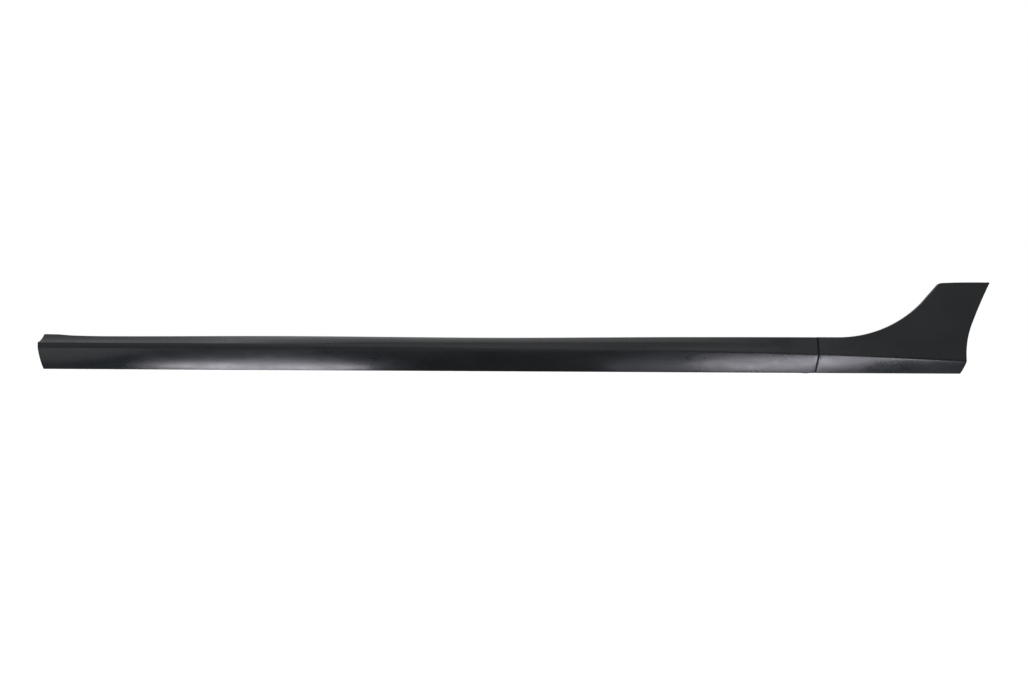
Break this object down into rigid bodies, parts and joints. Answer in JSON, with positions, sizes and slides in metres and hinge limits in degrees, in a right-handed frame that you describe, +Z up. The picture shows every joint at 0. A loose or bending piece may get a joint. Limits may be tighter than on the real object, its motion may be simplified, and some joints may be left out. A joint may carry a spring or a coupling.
{
  "type": "car side skirt",
  "caption": "Long black plastic side skirt with an undercut lower band, a top shoulder that fades along it, and a fin that sweeps up in front of the rear wheel arch.",
  "frame": {"origin": "middle of the row of screw holes, on the underside of the bottom flange", "axes": "+X towards the rear of the car, +Y inboard, +Z up; the outer face looks to -Y"},
  "size_m": [2.0566, 0.0888, 0.2023],
  "materials": {
    "moulded_plastic": "black polypropylene, fine grain, satin",
    "strip_rubber": "black soft rubber, matt",
    "clip_plastic": "natural nylon, slightly translucent",
    "foam_rubber": "dark closed-cell foam",
    "plated_steel": "zinc-plated steel",
    "spring_steel": "black phosphated spring steel"
  },
  "bodies": {
    "root": {"sill_moulding": "moulded_plastic", "rear_arch_moulding": "moulded_plastic", "top_edge_strip": "strip_rubber", "sill_clips": "clip_plastic", "arch_clips": "clip_plastic", "clip_seals": "foam_rubber", "splice_screws": "plated_steel", "arch_spring_nuts": "spring_steel"}
  },
  "joints": []
}
